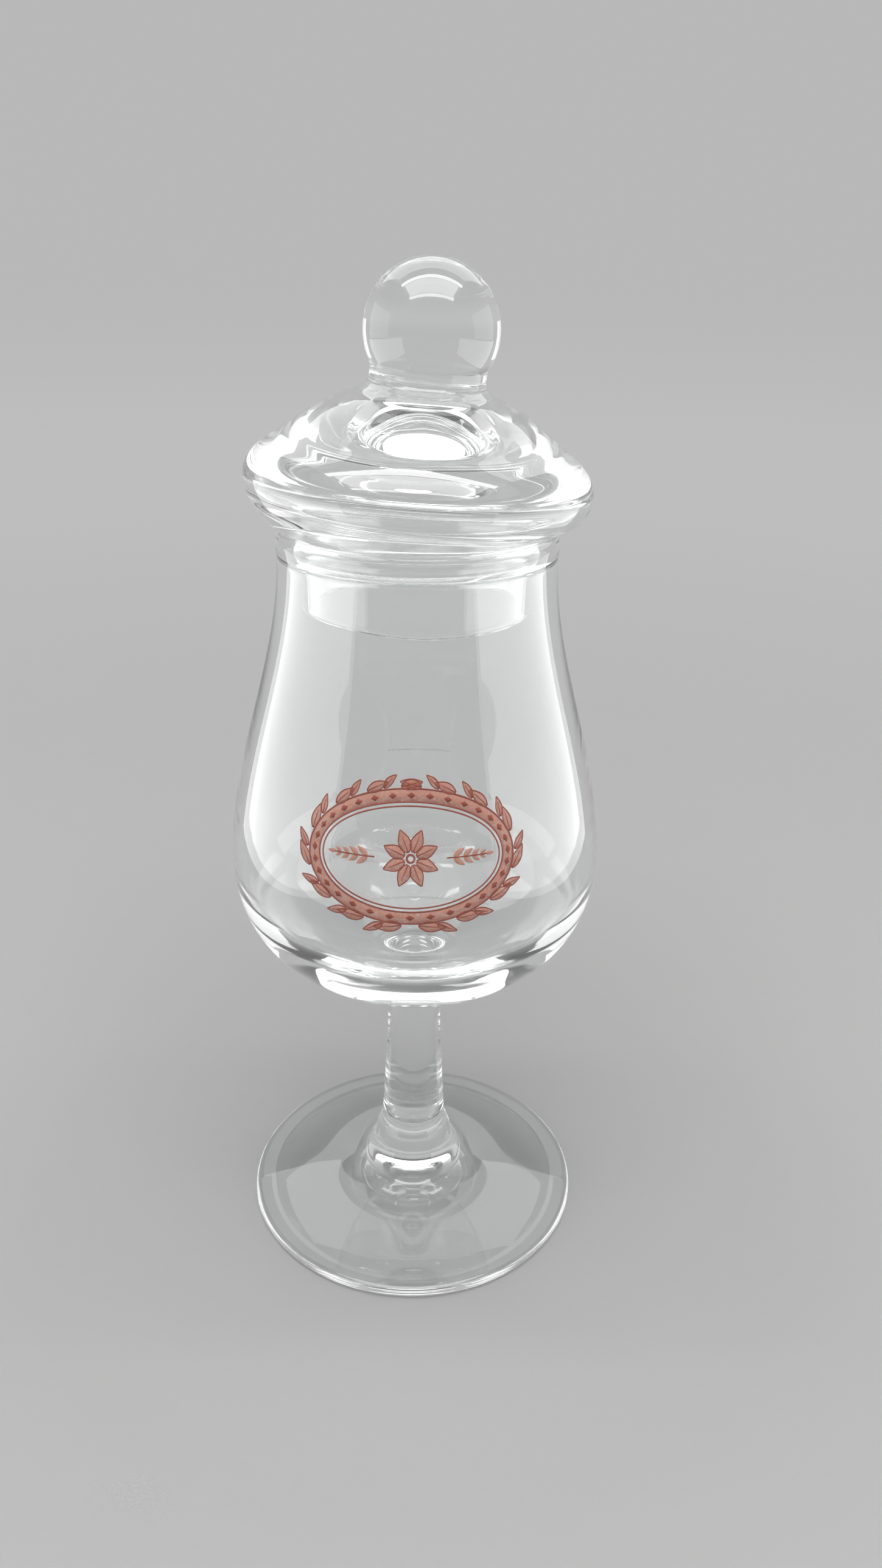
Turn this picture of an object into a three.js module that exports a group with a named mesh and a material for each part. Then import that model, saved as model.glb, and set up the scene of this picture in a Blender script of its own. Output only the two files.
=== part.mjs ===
// Covered schnapps glass: a tulip bowl on a drawn stem and a wide foot, closed by a hollow blown lid
// with a solid ball knob. Millimetres, +Z up. The origin is the centre of the ring the foot stands on.
//
// Five gathers of glass make it. The foot, stem and bowl are joined hot into the glass, and the shell
// and knob into the lid. The lid's plug drops into the mouth and its seat rests on the rim.
import * as THREE from "three";

// Foot
const FOOT_RADIUS = 25.75;
const FOOT_EDGE = 1.6; // thickness of the rounded edge
const CONTACT_WIDTH = 2.4; // flat ring that stands on the table
const FOOT_HEIGHT = 14.0; // up to the joint with the stem
const CONE_RISE = 2.18; // how far the straight cone climbs from the edge to the flare
const FLARE_WIDTH = 10.75; // how far the flare spreads past the stem before the cone takes over
const COLLAR = { width: 1.15, drop: 3.4 }; // where the foot's glass closes round the end of the stem
const HOLLOW_RISE = 2.5; // height of the hollow under the foot
const PONTIL_RADIUS = 5.6; // the ground mark in the middle of the hollow
const PONTIL_DEPTH = 1.1;

// Stem
const STEM_LENGTH = 26.8;
const STEM_FOOT_RADIUS = 4.75;
const STEM_WAIST_RADIUS = 3.95; // just under the bowl
const STEM_FLARE = { height: 3.0, width: 2.2 }; // where the stem spreads into the bowl

// Bowl
const BOWL_HEIGHT = 66.7;
const BELLY_RADIUS = 26.1;
const BELLY_HEIGHT = 20.5; // of the widest point, above the bowl's base
const NECK_RADIUS = 18.3; // outside, just below the bead of the rim
const NECK_DROP = 3.2; // from the top of the rim down to where the neck ends
const NECK_WALL = 1.4;
const BELLY_WALL = 1.8;
const BASE_WALL = 6.2;
const BASE_MARGIN = 0.5; // how far the flat under the bowl passes the end of the stem
const BEAD_RADIUS = 1.2; // fire-polished bead round the mouth
const BEAD_PROUD = 0.1; // how far the bead stands out past the neck

// Lid
const SEAT_GAP = 0.3; // running gap between the rim and the lid's seat
const PLUG_CLEARANCE = 0.8; // round the plug, at the narrowest point of the mouth
const PLUG_DEPTH = 10.4; // below the seat
const PLUG_WALL = 1.25;
const SEAT_FILLET = 0.8; // between the plug and the seat
const SEAT_MARGIN = 0.3; // how far the flat seat passes the middle of the bead
const LID_OVERHANG = 3.8; // how far the rolled shoulder stands out past the rim
const SHOULDER_HEIGHT = 6.0; // of the lid's widest point, above the seat
const SHOULDER_ROLL = { width: 3.8, height: 5.0 }; // from the widest point in to the straight flank
const NECK_SPREAD = { width: 4.4, height: 2.9 }; // from the straight flank up to the knob's neck
const LID_HEIGHT = 17.6; // from the seat to the joint with the knob
const SHOULDER_WALL = 1.2;
const CROWN_WALL = 6.4; // thick glass under the knob, above the hollow
const VAULT = { radius: 16.5, drop: 2.9, slope: 0.39 }; // where the hollow's roof turns down to the shoulder

// Knob
const BALL_RADIUS = 8.42;
const NECK_INSET = 1.2; // how much slimmer the knob's neck is than the ball
const KNOB_NECK_LENGTH = 1.65;

// Fineness of the facets
const SIDES = 48; // round the axis
const TURN_STEP = THREE.MathUtils.degToRad(17); // most that an outline turns in one step
const LONGEST_STEP = 6;

// Sizes that follow from the ones above
const MOUTH_RADIUS = Math.min(NECK_RADIUS - NECK_WALL, NECK_RADIUS + BEAD_PROUD - 2 * BEAD_RADIUS);
const BEAD_MIDDLE = NECK_RADIUS + BEAD_PROUD - BEAD_RADIUS;
const RIM_RADIUS = NECK_RADIUS + BEAD_PROUD;
const STEM_TOP_RADIUS = STEM_WAIST_RADIUS + STEM_FLARE.width;
const KNOB_NECK_RADIUS = BALL_RADIUS - NECK_INSET;
const BOWL_BASE = FOOT_HEIGHT + STEM_LENGTH;
const SEAT_HEIGHT = BOWL_BASE + BOWL_HEIGHT + SEAT_GAP;

const mix = THREE.MathUtils.lerp;

/** The angle that a curve turns through, summed over a fine walk along it. */
function turning(curve) {
  const walk = 24;
  let total = 0;
  for (let i = 0; i < walk; i++) {
    const here = curve.getTangent(i / walk);
    const next = curve.getTangent((i + 1) / walk);
    total += Math.abs(Math.atan2(here.cross(next), here.dot(next)));
  }
  return total;
}

/** Points along a path: a straight stroke gives its ends, and a curved one is cut finely to look round. */
function outline(path) {
  const points = [path.curves[0].getPoint(0)];
  for (const curve of path.curves) {
    const steps = curve.isLineCurve
      ? 1
      : Math.max(Math.ceil(turning(curve) / TURN_STEP), Math.ceil(curve.getLength() / LONGEST_STEP));
    points.push(...curve.getPoints(steps).slice(1));
  }
  return points;
}

/** A solid of revolution about Z. The path runs from the axis, round the section, and back to the axis. */
function turned(name, path) {
  const geometry = new THREE.LatheGeometry(outline(path), SIDES);
  geometry.rotateX(Math.PI / 2);
  const mesh = new THREE.Mesh(geometry, clearGlass());
  mesh.name = name;
  return mesh;
}

/** Colourless soda-lime glass with a faint green cast. */
function clearGlass() {
  return new THREE.MeshStandardMaterial({
    color: 0xe9f3ef,
    roughness: 0.03,
    metalness: 0,
    transparent: true,
    opacity: 0.35,
  });
}

/** The foot: a thin cone with a rounded edge, hollow underneath, that flares up into the stem. */
function makeFoot() {
  const edge = FOOT_EDGE / 2;
  const rim = FOOT_RADIUS - edge;
  const flareRadius = STEM_FOOT_RADIUS + FLARE_WIDTH;
  const flareHeight = FOOT_EDGE + CONE_RISE;
  const slope = CONE_RISE / (rim - flareRadius);
  const collarRadius = STEM_FOOT_RADIUS + COLLAR.width;
  const collarHeight = FOOT_HEIGHT - COLLAR.drop;
  const path = new THREE.Path();
  path.moveTo(0, HOLLOW_RISE + PONTIL_DEPTH);
  path.quadraticCurveTo(0.8 * PONTIL_RADIUS, HOLLOW_RISE + PONTIL_DEPTH, PONTIL_RADIUS, HOLLOW_RISE);
  path.quadraticCurveTo(mix(PONTIL_RADIUS, rim, 0.6), 0.75 * HOLLOW_RISE, rim - CONTACT_WIDTH, 0);
  path.lineTo(rim, 0);
  path.absarc(rim, edge, edge, -Math.PI / 2, Math.PI / 2 - Math.atan(slope), false);
  path.lineTo(flareRadius, flareHeight);
  path.bezierCurveTo(
    mix(flareRadius, collarRadius, 0.52), mix(flareHeight, collarHeight, 0.165),
    mix(flareRadius, collarRadius, 0.93), mix(flareHeight, collarHeight, 0.41),
    collarRadius, collarHeight,
  );
  path.bezierCurveTo(
    mix(collarRadius, STEM_FOOT_RADIUS, 0.22), mix(collarHeight, FOOT_HEIGHT, 0.35),
    mix(collarRadius, STEM_FOOT_RADIUS, 0.88), mix(collarHeight, FOOT_HEIGHT, 0.6),
    STEM_FOOT_RADIUS, FOOT_HEIGHT,
  );
  path.lineTo(0, FOOT_HEIGHT);
  return turned("foot", path);
}

/** The stem: a solid rod that slims towards the bowl and spreads again where it meets it. */
function makeStem() {
  const waist = STEM_LENGTH - STEM_FLARE.height;
  const path = new THREE.Path();
  path.moveTo(0, 0);
  path.lineTo(STEM_FOOT_RADIUS, 0);
  path.bezierCurveTo(
    STEM_FOOT_RADIUS, 0.3 * waist,
    STEM_WAIST_RADIUS, 0.6 * waist,
    STEM_WAIST_RADIUS, waist,
  );
  path.bezierCurveTo(
    STEM_WAIST_RADIUS, waist + 0.6 * STEM_FLARE.height,
    mix(STEM_WAIST_RADIUS, STEM_TOP_RADIUS, 0.25), STEM_LENGTH,
    STEM_TOP_RADIUS, STEM_LENGTH,
  );
  path.lineTo(0, STEM_LENGTH);
  return turned("stem", path);
}

/** The bowl: thick at the base, thinning through the belly to a narrow neck with a fire-polished bead. */
function makeBowl() {
  const baseRadius = STEM_TOP_RADIUS + BASE_MARGIN;
  const neckHeight = BOWL_HEIGHT - NECK_DROP;
  const beadHeight = BOWL_HEIGHT - BEAD_RADIUS;
  const beadFoot = mix(neckHeight, beadHeight, 0.35);
  const span = neckHeight - BELLY_HEIGHT;
  const bellyInside = BELLY_RADIUS - BELLY_WALL;
  const neckInside = NECK_RADIUS - NECK_WALL;
  const path = new THREE.Path();
  path.moveTo(0, 0);
  path.lineTo(baseRadius, 0);
  path.bezierCurveTo(
    mix(baseRadius, BELLY_RADIUS, 0.46), 0.13 * BELLY_HEIGHT,
    BELLY_RADIUS, 0.36 * BELLY_HEIGHT,
    BELLY_RADIUS, BELLY_HEIGHT,
  );
  path.bezierCurveTo(
    BELLY_RADIUS, BELLY_HEIGHT + span / 3,
    NECK_RADIUS, neckHeight - span / 3,
    NECK_RADIUS, neckHeight,
  );
  path.bezierCurveTo(NECK_RADIUS, beadFoot, RIM_RADIUS, neckHeight, RIM_RADIUS, beadHeight);
  path.absarc(BEAD_MIDDLE, beadHeight, BEAD_RADIUS, 0, Math.PI, false);
  path.bezierCurveTo(BEAD_MIDDLE - BEAD_RADIUS, beadFoot, neckInside, beadFoot, neckInside, neckHeight);
  path.bezierCurveTo(
    neckInside, neckHeight - span / 3,
    bellyInside, BELLY_HEIGHT + span / 3,
    bellyInside, BELLY_HEIGHT,
  );
  path.bezierCurveTo(
    bellyInside, mix(BELLY_HEIGHT, BASE_WALL, 0.65),
    0.65 * bellyInside, BASE_WALL,
    0, BASE_WALL,
  );
  return turned("bowl", path);
}

/** The lid's shell: a hollow dome over a rolled shoulder, with a flat seat and an open plug below. */
function makeLidShell() {
  const plugRadius = MOUTH_RADIUS - PLUG_CLEARANCE;
  const plugInside = plugRadius - PLUG_WALL;
  const plugEdge = PLUG_WALL / 2;
  const seatRadius = BEAD_MIDDLE + SEAT_MARGIN;
  const shoulderRadius = RIM_RADIUS + LID_OVERHANG;
  const shoulderInside = shoulderRadius - SHOULDER_WALL;
  const crownHeight = LID_HEIGHT - CROWN_WALL;
  const vaultHeight = crownHeight - VAULT.drop;
  const third = VAULT.radius / 3;
  const widest = new THREE.Vector2(shoulderRadius, SHOULDER_HEIGHT);
  const neckFoot = new THREE.Vector2(KNOB_NECK_RADIUS, LID_HEIGHT);
  const flankFoot = new THREE.Vector2(-SHOULDER_ROLL.width, SHOULDER_ROLL.height).add(widest);
  const flankTop = new THREE.Vector2(NECK_SPREAD.width, -NECK_SPREAD.height).add(neckFoot);
  const flank = flankTop.clone().sub(flankFoot).normalize();
  const rollPull = flankFoot.clone().addScaledVector(flank, -0.6 * SHOULDER_ROLL.width);
  const neckPull = flankTop.clone().addScaledVector(flank, 0.65 * NECK_SPREAD.width);
  const path = new THREE.Path();
  path.moveTo(0, crownHeight);
  path.bezierCurveTo(
    third, crownHeight,
    VAULT.radius - third, vaultHeight + VAULT.slope * third,
    VAULT.radius, vaultHeight,
  );
  path.bezierCurveTo(
    mix(VAULT.radius, shoulderInside, 0.55), mix(vaultHeight, 0.9 * SHOULDER_HEIGHT, 0.35),
    shoulderInside, mix(vaultHeight, 0.9 * SHOULDER_HEIGHT, 0.45),
    shoulderInside, 0.9 * SHOULDER_HEIGHT,
  );
  path.bezierCurveTo(
    shoulderInside, 0.3 * SHOULDER_HEIGHT,
    plugInside, 0.4 * SHOULDER_HEIGHT,
    plugInside, -SEAT_FILLET,
  );
  path.lineTo(plugInside, plugEdge - PLUG_DEPTH);
  path.absarc(plugInside + plugEdge, plugEdge - PLUG_DEPTH, plugEdge, Math.PI, 2 * Math.PI, false);
  path.lineTo(plugRadius, -SEAT_FILLET);
  path.absarc(plugRadius + SEAT_FILLET, -SEAT_FILLET, SEAT_FILLET, Math.PI, Math.PI / 2, true);
  path.lineTo(seatRadius, 0);
  path.bezierCurveTo(
    mix(seatRadius, shoulderRadius, 0.6), 0.22 * SHOULDER_HEIGHT,
    shoulderRadius, 0.5 * SHOULDER_HEIGHT,
    shoulderRadius, SHOULDER_HEIGHT,
  );
  path.bezierCurveTo(
    shoulderRadius, SHOULDER_HEIGHT + 0.62 * SHOULDER_ROLL.height,
    rollPull.x, rollPull.y,
    flankFoot.x, flankFoot.y,
  );
  path.lineTo(flankTop.x, flankTop.y);
  path.bezierCurveTo(
    neckPull.x, neckPull.y,
    KNOB_NECK_RADIUS, LID_HEIGHT - 0.45 * NECK_SPREAD.height,
    KNOB_NECK_RADIUS, LID_HEIGHT,
  );
  path.lineTo(0, LID_HEIGHT);
  return turned("lid_shell", path);
}

/** The knob: a solid ball on a short neck. */
function makeLidKnob() {
  const drop = Math.sqrt(BALL_RADIUS ** 2 - KNOB_NECK_RADIUS ** 2);
  const middle = KNOB_NECK_LENGTH + drop;
  const path = new THREE.Path();
  path.moveTo(0, 0);
  path.lineTo(KNOB_NECK_RADIUS, 0);
  path.lineTo(KNOB_NECK_RADIUS, KNOB_NECK_LENGTH);
  path.absarc(0, middle, BALL_RADIUS, -Math.atan2(drop, KNOB_NECK_RADIUS), Math.PI / 2, false);
  return turned("lid_knob", path);
}

const foot = makeFoot();
const stem = makeStem();
stem.position.z = FOOT_HEIGHT;
const bowl = makeBowl();
bowl.position.z = BOWL_BASE;
const glass = new THREE.Group();
glass.add(foot, stem, bowl);

const lidShell = makeLidShell();
const lidKnob = makeLidKnob();
lidKnob.position.z = LID_HEIGHT;
const lid = new THREE.Group();
lid.position.z = SEAT_HEIGHT;
lid.add(lidShell, lidKnob);

const coveredGlass = new THREE.Group();
coveredGlass.add(glass, lid);

export default coveredGlass;
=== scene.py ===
"""Covered schnapps glass: a clear tulip glass on a drawn stem, closed by a hollow lid with a ball knob.

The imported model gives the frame. The three joined gathers of the stemware and the two of the lid each
become one continuous body of glass here, with the joint rings, ripples and edge waves that hot working
leaves, a fired ornament on the bowl, and the fine scratches and dull smears of a glass in use.
Sizes are in millimetres, and heights are measured up from the table, unless a comment says otherwise.
"""

from __future__ import annotations

import logging
import math
from collections.abc import Callable
from dataclasses import dataclass, field
from enum import Enum
from typing import ClassVar

import bpy
import numpy as np
from mathutils import Euler, Matrix, Vector

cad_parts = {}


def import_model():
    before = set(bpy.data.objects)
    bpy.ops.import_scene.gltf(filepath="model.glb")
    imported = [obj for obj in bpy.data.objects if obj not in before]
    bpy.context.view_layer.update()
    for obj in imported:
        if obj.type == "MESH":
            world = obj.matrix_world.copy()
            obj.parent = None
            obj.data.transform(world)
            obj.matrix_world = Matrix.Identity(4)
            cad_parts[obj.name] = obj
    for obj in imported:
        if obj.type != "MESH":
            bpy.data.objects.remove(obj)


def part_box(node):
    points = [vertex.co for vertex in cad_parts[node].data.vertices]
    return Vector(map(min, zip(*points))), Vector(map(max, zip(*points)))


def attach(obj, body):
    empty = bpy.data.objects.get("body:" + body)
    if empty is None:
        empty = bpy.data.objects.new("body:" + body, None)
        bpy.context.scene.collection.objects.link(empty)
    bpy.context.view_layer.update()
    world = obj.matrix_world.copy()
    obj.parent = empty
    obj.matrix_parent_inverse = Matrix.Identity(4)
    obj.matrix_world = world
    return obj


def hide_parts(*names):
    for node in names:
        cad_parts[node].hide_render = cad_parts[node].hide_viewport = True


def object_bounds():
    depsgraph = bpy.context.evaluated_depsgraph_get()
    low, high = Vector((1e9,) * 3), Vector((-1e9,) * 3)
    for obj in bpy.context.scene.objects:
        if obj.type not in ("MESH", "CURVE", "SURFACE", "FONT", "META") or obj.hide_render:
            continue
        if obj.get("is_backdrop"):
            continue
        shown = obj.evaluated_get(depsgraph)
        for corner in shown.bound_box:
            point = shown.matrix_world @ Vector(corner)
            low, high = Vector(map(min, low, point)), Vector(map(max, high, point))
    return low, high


LOG = logging.getLogger("covered_glass")
MM = 0.001
Points = np.ndarray
Pair = tuple[float, float]
Triple = tuple[float, float, float]
Wave = tuple[float, float, float, float]
Shaping = Callable[[np.ndarray, np.ndarray, np.ndarray], np.ndarray]


class Body(Enum):
    """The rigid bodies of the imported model."""

    STEMWARE = "glass"
    LID = "lid"


class Slot(Enum):
    """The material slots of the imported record."""

    STEMWARE = "stemware_glass"
    LID = "lid_glass"


# Outlines


def line(start: Pair, end: Pair) -> Points:
    """A straight stroke from start to end, as its two ends."""
    return np.array([start, end], float)


def bezier(*controls: Pair, steps: int = 60) -> Points:
    """A Bezier stroke: the sum of each control point times its Bernstein polynomial in t.

    Args:
        controls: Three or four (radius, height) pairs.
        steps: How many steps the stroke is cut into.

    Returns:
        An array of (radius, height) rows.
    """
    t = np.linspace(0.0, 1.0, steps + 1)[:, None]
    order = len(controls) - 1
    terms = [
        math.comb(order, i) * (1.0 - t) ** (order - i) * t**i * np.array(point, float)
        for i, point in enumerate(controls)
    ]
    return np.sum(terms, axis=0)


def swept(start: Pair, end: Pair, first: Pair, second: Pair) -> Points:
    """A Bezier stroke whose handles are given as shares of the way from start to end.

    Args:
        start: (radius, height) of its start.
        end: (radius, height) of its end.
        first: How far across and how far up the first handle lies, from 0 to 1.
        second: The same for the second handle.

    Returns:
        An array of (radius, height) rows.
    """
    handles = [(mix(start[0], end[0], across), mix(start[1], end[1], up)) for across, up in (first, second)]
    return bezier(start, *handles, end)


def arc(centre: Pair, radius: float, start: float, end: float, steps: int = 24) -> Points:
    """A circular stroke: the centre plus the radius times (cosine, sine) of an angle from start to end.

    Args:
        centre: (radius, height) of the circle's centre.
        radius: The circle's own radius.
        start: First angle, in degrees from the outward direction towards up.
        end: Last angle, in degrees.
        steps: How many steps the stroke is cut into.

    Returns:
        An array of (radius, height) rows.
    """
    angle = np.radians(np.linspace(start, end, steps + 1))
    return np.array(centre) + radius * np.stack([np.cos(angle), np.sin(angle)], axis=1)


def outline(strokes: list[Points], step: float) -> Points:
    """Joins strokes end to end and spaces their points evenly along the way.

    Args:
        strokes: The strokes in order, each starting where the last one ends.
        step: The distance between points, in millimetres.

    Returns:
        An array of (radius, height) rows.
    """
    way = np.concatenate(strokes)
    lengths = np.hypot(*np.diff(way, axis=0).T)
    kept = np.concatenate([[True], lengths > 1e-6])
    way = way[kept]
    run = np.concatenate([[0.0], np.cumsum(np.hypot(*np.diff(way, axis=0).T))])
    even = np.linspace(0.0, run[-1], int(run[-1] / step) + 1)
    return np.stack([np.interp(even, run, way[:, 0]), np.interp(even, run, way[:, 1])], axis=1)


def mix(a: float, b: float, share: float) -> float:
    """The value that lies the given share of the way from a to b."""
    return a + (b - a) * share


def ramp(value: np.ndarray, low: float, high: float) -> np.ndarray:
    """Rises smoothly from 0 at low to 1 at high: three t squared less two t cubed."""
    t = np.clip((value - low) / (high - low), 0.0, 1.0)
    return t * t * (3.0 - 2.0 * t)


def rings(height: np.ndarray, joint: float, humps: tuple[Triple, ...]) -> np.ndarray:
    """Soft rings and grooves round the axis near a joint.

    Each is its rise times e to the minus half the square of the distance from its middle over its width.

    Args:
        height: Heights of the points.
        joint: Height that the rings are measured from.
        humps: For each ring, its middle above the joint, its rise, less than 0 for a groove, and its width.

    Returns:
        What they add to the radius.
    """
    return sum(rise * np.exp(-0.5 * ((height - (joint + up)) / width) ** 2) for up, rise, width in humps)


def waves(angle: np.ndarray, height: np.ndarray, terms: tuple[Wave, ...]) -> np.ndarray:
    """Adds long waves. Each is its strength times the sine of turns times a plus climb times z plus phase.

    Args:
        angle: Angles a round the axis.
        height: Heights z.
        terms: For each wave, its strength, turns, climb and phase.

    Returns:
        The sum.
    """
    return sum(
        strength * np.sin(turns * angle + climb * height + phase) for strength, turns, climb, phase in terms
    )


# Meshes


def mesh_object(
    name: str, points: np.ndarray, faces: np.ndarray, material: bpy.types.Material
) -> bpy.types.Object:
    """Makes a smooth-shaded mesh object at the origin.

    Args:
        name: The piece's name.
        points: Vertices in millimetres, one row each.
        faces: Corner indices, one row of three or four for each face.
        material: The piece's finish.

    Returns:
        The linked object.
    """
    mesh = bpy.data.meshes.new(name)
    corners = faces.shape[1]
    mesh.vertices.add(len(points))
    mesh.vertices.foreach_set("co", (points * MM).astype(np.float32).ravel())
    mesh.loops.add(faces.size)
    mesh.loops.foreach_set("vertex_index", faces.astype(np.int32).ravel())
    mesh.polygons.add(len(faces))
    mesh.polygons.foreach_set("loop_start", np.arange(0, faces.size, corners, dtype=np.int32))
    mesh.polygons.foreach_set("use_smooth", np.ones(len(faces), bool))
    mesh.update(calc_edges=True)
    mesh.validate()
    mesh.materials.append(material)
    piece = bpy.data.objects.new(name, mesh)
    bpy.context.scene.collection.objects.link(piece)
    return piece


def tube_faces(rows: int, around: int, closed: bool) -> np.ndarray:
    """Triangles of a tube of points: two for each cell, and a fan over each end of an open one.

    Args:
        rows: How many rings of points it has along its path.
        around: How many points each ring has, turning left about the path's direction.
        closed: Whether the last ring joins the first.

    Returns:
        Corner indices, three for each triangle.
    """
    row = np.arange(rows if closed else rows - 1)[:, None]
    column = np.arange(around)
    following = (column + 1) % around
    after = (row + 1) % rows
    a, b = row * around + column, row * around + following
    c, d = after * around + following, after * around + column
    cells = np.stack([a, b, c, a, c, d], axis=-1).reshape(-1, 3)
    if closed:
        return cells
    fan = np.stack([np.zeros(around - 2, int), np.arange(1, around - 1), np.arange(2, around)], axis=1)
    return np.concatenate([cells, fan[:, ::-1], fan + (rows - 1) * around])


@dataclass(frozen=True)
class Revolved:
    """A body turned about the axis of the glass, whose outline starts and ends on it."""

    way: Points
    sides: int = 180

    def grid(self) -> tuple[np.ndarray, np.ndarray, np.ndarray]:
        """Angle, radius and height of every point off the axis, as rows along the outline."""
        angle = np.linspace(0.0, 2.0 * np.pi, self.sides, endpoint=False)
        inner = self.way[1:-1]
        shape = (len(inner), self.sides)
        return (
            np.broadcast_to(angle, shape).copy(),
            np.broadcast_to(inner[:, :1], shape).copy(),
            np.broadcast_to(inner[:, 1:], shape).copy(),
        )

    def faces(self) -> np.ndarray:
        """Two triangles for each cell between the rows, and a fan that closes each end on the axis."""
        rows = len(self.way) - 2
        column = np.arange(self.sides)
        following = (column + 1) % self.sides
        start = (np.arange(rows - 1) * self.sides)[:, None]
        low = start + column
        high = start + following
        cells = np.stack([low, high, high + self.sides, low + self.sides], axis=-1).reshape(-1, 4)
        halves = np.concatenate([cells[:, [0, 1, 2]], cells[:, [0, 2, 3]]])
        last = (rows - 1) * self.sides
        first_pole = rows * self.sides
        fan_in = np.stack([np.full(self.sides, first_pole), following, column], axis=1)
        fan_out = np.stack([np.full(self.sides, first_pole + 1), last + column, last + following], axis=1)
        return np.concatenate([halves, fan_in, fan_out])

    def build(self, name: str, material: bpy.types.Material, shaped: Shaping) -> bpy.types.Object:
        """Places every point of the grid and makes the mesh.

        Args:
            name: The piece's name.
            material: The piece's finish.
            shaped: Turns angle, radius and height into x, y and z.

        Returns:
            The linked object.
        """
        angle, radius, height = self.grid()
        body = shaped(angle, radius, height).reshape(-1, 3)
        ends = self.way[[0, -1]]
        poles = shaped(np.zeros(2), ends[:, 0], ends[:, 1]).reshape(-1, 3)
        return mesh_object(name, np.concatenate([body, poles]), self.faces(), material)


def placed(angle: np.ndarray, radius: np.ndarray, height: np.ndarray) -> np.ndarray:
    """Cylindrical to straight coordinates: (r cos a, r sin a, z)."""
    return np.stack([radius * np.cos(angle), radius * np.sin(angle), height], axis=-1)


# The pieces


@dataclass
class Stemware:
    """The glass without its lid: foot, stem and bowl as one body."""

    foot_radius: float
    joint_height: float
    bowl_base: float
    rim_height: float
    belly_radius: float
    foot_edge: float = 1.6
    contact_width: float = 2.4
    cone_rise: float = 2.18
    flare_width: float = 10.75
    hollow_rise: float = 2.5
    collar: Pair = (1.15, 3.4)
    pontil: Pair = (5.6, 1.1)
    stem_radii: Pair = (4.75, 3.95)
    stem_flare: Pair = (3.0, 2.2)
    base_margin: float = 0.5
    belly_height: float = 20.5
    neck_radius: float = 18.3
    neck_drop: float = 3.2
    bead_radius: float = 1.2
    bead_proud: float = 0.1
    bead_share: float = 0.35
    walls: Triple = (6.2, 1.8, 1.4)
    ripple: float = 0.035
    ripple_start: float = 12.0
    ring_fade: Pair = (2.0, 3.5)
    outline_step: float = 0.5
    joint_humps: ClassVar[tuple[Triple, ...]] = (
        (1.3, 0.16, 0.35),
        (0.6, -0.12, 0.3),
        (-0.1, 0.2, 0.4),
        (-1.0, -0.1, 0.35),
        (-1.7, 0.12, 0.35),
    )
    wall_waves: ClassVar[tuple[Wave, ...]] = (
        (1.0, 2, 0.09, 0.4),
        (0.6, 3, -0.13, 2.1),
        (0.4, 5, 0.21, 4.0),
    )

    @property
    def belly(self) -> float:
        """Height of the widest place."""
        return self.bowl_base + self.belly_height

    @property
    def neck(self) -> float:
        """Height where the neck's wall ends and the bead starts."""
        return self.rim_height - self.neck_drop

    @property
    def bead(self) -> float:
        """Height of the middle of the bead."""
        return self.rim_height - self.bead_radius

    @property
    def bead_middle(self) -> float:
        """Radius of the middle of the bead."""
        return self.neck_radius + self.bead_proud - self.bead_radius

    def foot(self) -> list[Points]:
        """Strokes of the foot: its hollow, its edge, its cone and flare, and the collar round the stem."""
        edge = self.foot_edge / 2
        rim = self.foot_radius - edge
        low = self.stem_radii[0]
        flare = (low + self.flare_width, self.foot_edge + self.cone_rise)
        slope = self.cone_rise / (rim - flare[0])
        collar = (low + self.collar[0], self.joint_height - self.collar[1])
        pontil, depth = self.pontil
        return [
            bezier(
                (0, self.hollow_rise + depth),
                (0.8 * pontil, self.hollow_rise + depth),
                (pontil, self.hollow_rise),
            ),
            bezier(
                (pontil, self.hollow_rise),
                (mix(pontil, rim, 0.6), 0.75 * self.hollow_rise),
                (rim - self.contact_width, 0),
            ),
            arc((rim, edge), edge, -90, 90 - math.degrees(math.atan(slope))),
            swept(flare, collar, (0.52, 0.165), (0.93, 0.41)),
            swept(collar, (low, self.joint_height), (0.22, 0.35), (0.88, 0.6)),
        ]

    def stem(self) -> list[Points]:
        """Strokes of the stem: its long taper, and the flare that carries the bowl."""
        low, high = self.stem_radii
        waist = (high, self.bowl_base - self.stem_flare[0])
        top = (high + self.stem_flare[1], self.bowl_base)
        return [
            swept((low, self.joint_height), waist, (0, 0.3), (1, 0.6)),
            swept(waist, top, (0, 0.6), (0.25, 1)),
        ]

    def bowl(self) -> list[Points]:
        """Strokes of the bowl's outside: its base, belly and neck, and the bead round the mouth."""
        base = self.stem_radii[1] + self.stem_flare[1] + self.base_margin
        belly = (self.belly_radius, self.belly)
        neck = (self.neck_radius, self.neck)
        rim = (self.neck_radius + self.bead_proud, self.bead)
        return [
            swept((base, self.bowl_base), belly, (0.46, 0.13), (1, 0.36)),
            swept(belly, neck, (0, 1 / 3), (1, 2 / 3)),
            swept(neck, rim, (0, self.bead_share), (1, 0)),
            arc((self.bead_middle, self.bead), self.bead_radius, 0, 90),
        ]

    def inside(self) -> list[Points]:
        """Strokes from the top of the rim, down the inner wall to the middle of the bowl's floor."""
        base_wall, belly_wall, neck_wall = self.walls
        floor = self.bowl_base + base_wall
        mouth = (self.bead_middle - self.bead_radius, self.bead)
        neck = (self.neck_radius - neck_wall, self.neck)
        belly = (self.belly_radius - belly_wall, self.belly)
        return [
            arc((self.bead_middle, self.bead), self.bead_radius, 90, 180),
            swept(mouth, neck, (0, 1 - self.bead_share), (1, 1 - self.bead_share)),
            swept(neck, belly, (0, 1 / 3), (1, 2 / 3)),
            swept(belly, (0, floor), (0, 0.65), (0.35, 1)),
        ]

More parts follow.
